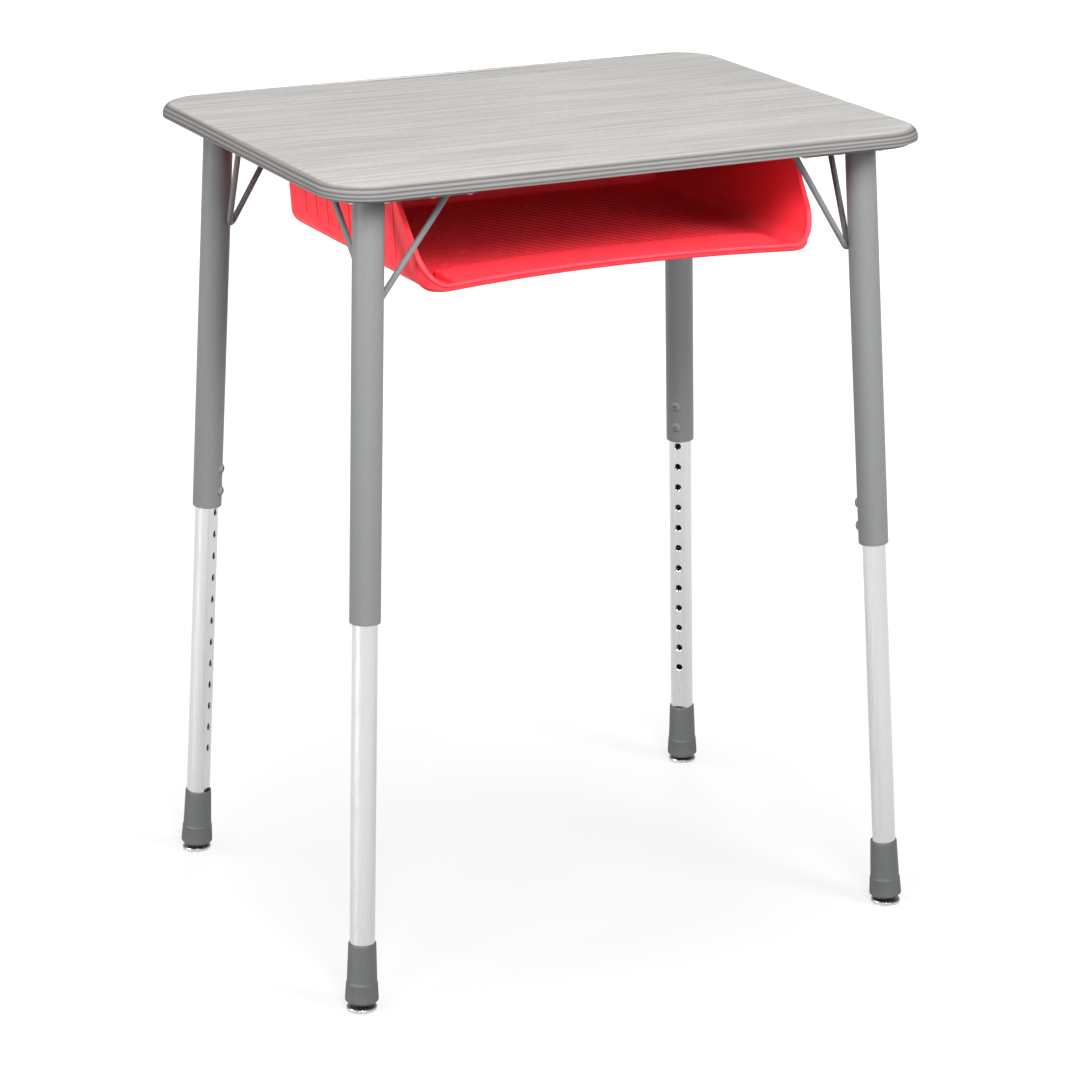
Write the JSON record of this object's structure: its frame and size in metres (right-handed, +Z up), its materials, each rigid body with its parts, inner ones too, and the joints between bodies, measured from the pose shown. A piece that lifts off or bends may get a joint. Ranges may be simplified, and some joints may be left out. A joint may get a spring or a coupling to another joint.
{
  "type": "study desk",
  "caption": "Rectangular study desk with a red open-front book box, braced splayed legs that telescope in steps, and tilting glides in fluted boots.",
  "frame": {"origin": "on the floor below the middle of the top", "axes": "+Z up, -Y towards the sitter, where the book box opens, +X to the sitter's right"},
  "size_m": [0.666, 0.514, 0.86],
  "materials": {
    "top": "satin moulded plastic with a pale grey wood grain",
    "book_box": "red moulded plastic, satin, crosshatched floor",
    "paint": "silver grey powder coat",
    "nickel": "bright nickel plate",
    "zinc": "zinc plate",
    "boot": "dark grey moulded plastic",
    "pad": "pale nylon"
  },
  "bodies": {
    "desk_frame": {"desk_top": "top", "book_box": "book_box", "box_screws": "zinc", "leg_tube_front_left": "paint", "leg_tube_front_right": "paint", "leg_tube_rear_left": "paint", "leg_tube_rear_right": "paint", "brace_front_left": "paint", "brace_front_right": "paint", "brace_rear_left": "paint", "brace_rear_right": "paint", "mounting_plate_front_left": "paint", "mounting_plate_front_right": "paint", "mounting_plate_rear_left": "paint", "mounting_plate_rear_right": "paint", "plate_screws_front_left": "zinc", "plate_screws_front_right": "zinc", "plate_screws_rear_left": "zinc", "plate_screws_rear_right": "zinc", "adjusting_screws_front_left": "paint", "adjusting_screws_front_right": "paint", "adjusting_screws_rear_left": "paint", "adjusting_screws_rear_right": "paint"},
    "leg_front_left": {"leg_insert_front_left": "nickel", "boot_front_left": "boot", "glide_stud_front_left": "zinc"},
    "glide_front_left": {"glide_cup_front_left": "nickel", "glide_pad_front_left": "pad"},
    "leg_front_right": {"leg_insert_front_right": "nickel", "boot_front_right": "boot", "glide_stud_front_right": "zinc"},
    "glide_front_right": {"glide_cup_front_right": "nickel", "glide_pad_front_right": "pad"},
    "leg_rear_left": {"leg_insert_rear_left": "nickel", "boot_rear_left": "boot", "glide_stud_rear_left": "zinc"},
    "glide_rear_left": {"glide_cup_rear_left": "nickel", "glide_pad_rear_left": "pad"},
    "leg_rear_right": {"leg_insert_rear_right": "nickel", "boot_rear_right": "boot", "glide_stud_rear_right": "zinc"},
    "glide_rear_right": {"glide_cup_rear_right": "nickel", "glide_pad_rear_right": "pad"}
  },
  "joints": [
    {"name": "leg_height_front_left", "type": "slide", "parent": "desk_frame", "child": "leg_front_left", "axis": [0.0438, 0.0438, 0.9981], "range_m": [0, 0.3048]},
    {"name": "leg_height_front_right", "type": "slide", "parent": "desk_frame", "child": "leg_front_right", "axis": [-0.0438, 0.0438, 0.9981], "range_m": [0, 0.3048]},
    {"name": "leg_height_rear_left", "type": "slide", "parent": "desk_frame", "child": "leg_rear_left", "axis": [0.0438, -0.0438, 0.9981], "range_m": [0, 0.3048]},
    {"name": "leg_height_rear_right", "type": "slide", "parent": "desk_frame", "child": "leg_rear_right", "axis": [-0.0438, -0.0438, 0.9981], "range_m": [0, 0.3048]},
    {"name": "glide_tilt_front_left", "type": "hinge", "parent": "leg_front_left", "child": "glide_front_left", "pos_m": [-0.31191, -0.23591, 0.0046], "axis": [0.7071, -0.7071, 0], "range_deg": [-8, 8]},
    {"name": "glide_tilt_front_right", "type": "hinge", "parent": "leg_front_right", "child": "glide_front_right", "pos_m": [0.31191, -0.23591, 0.0046], "axis": [0.7071, 0.7071, 0], "range_deg": [-8, 8]},
    {"name": "glide_tilt_rear_left", "type": "hinge", "parent": "leg_rear_left", "child": "glide_rear_left", "pos_m": [-0.31191, 0.23591, 0.0046], "axis": [0.7071, 0.7071, 0], "range_deg": [-8, 8]},
    {"name": "glide_tilt_rear_right", "type": "hinge", "parent": "leg_rear_right", "child": "glide_rear_right", "pos_m": [0.31191, 0.23591, 0.0046], "axis": [0.7071, -0.7071, 0], "range_deg": [-8, 8]}
  ]
}
